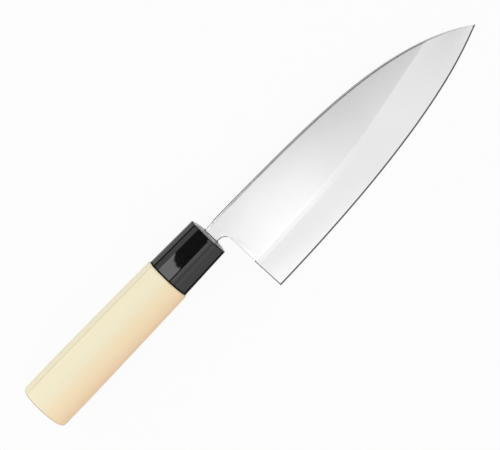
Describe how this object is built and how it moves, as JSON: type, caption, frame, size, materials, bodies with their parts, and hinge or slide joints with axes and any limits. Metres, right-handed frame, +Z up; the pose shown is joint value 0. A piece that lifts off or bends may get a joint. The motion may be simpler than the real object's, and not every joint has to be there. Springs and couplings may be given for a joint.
{
  "type": "kitchen knife",
  "caption": "Single-bevel kitchen knife with a wide pointed steel blade, a glossy black collar and a straight oval pale wood handle, for cutting fish and meat.",
  "frame": {"origin": "centre of the bounding box at the table the knife lies on", "axes": "+X along the handle to the point, +Y to the spine, +Z up; the knife lies on its left side with the bevelled side up, at rest on its heel, its point and its handle"},
  "size_m": [0.2926, 0.0576, 0.0252],
  "materials": {
    "blade_steel": "satin-polished stainless steel",
    "collar_plastic": "glossy black moulded plastic",
    "handle_wood": "fine sanded pale wood, unvarnished",
    "resin_bed": "cast amber resin",
    "resin_seal": "dark cured resin bead"
  },
  "bodies": {
    "root": {"blade": "blade_steel", "collar": "collar_plastic", "handle": "handle_wood", "tang_adhesive": "resin_bed", "mouth_seal": "resin_seal"}
  },
  "joints": []
}
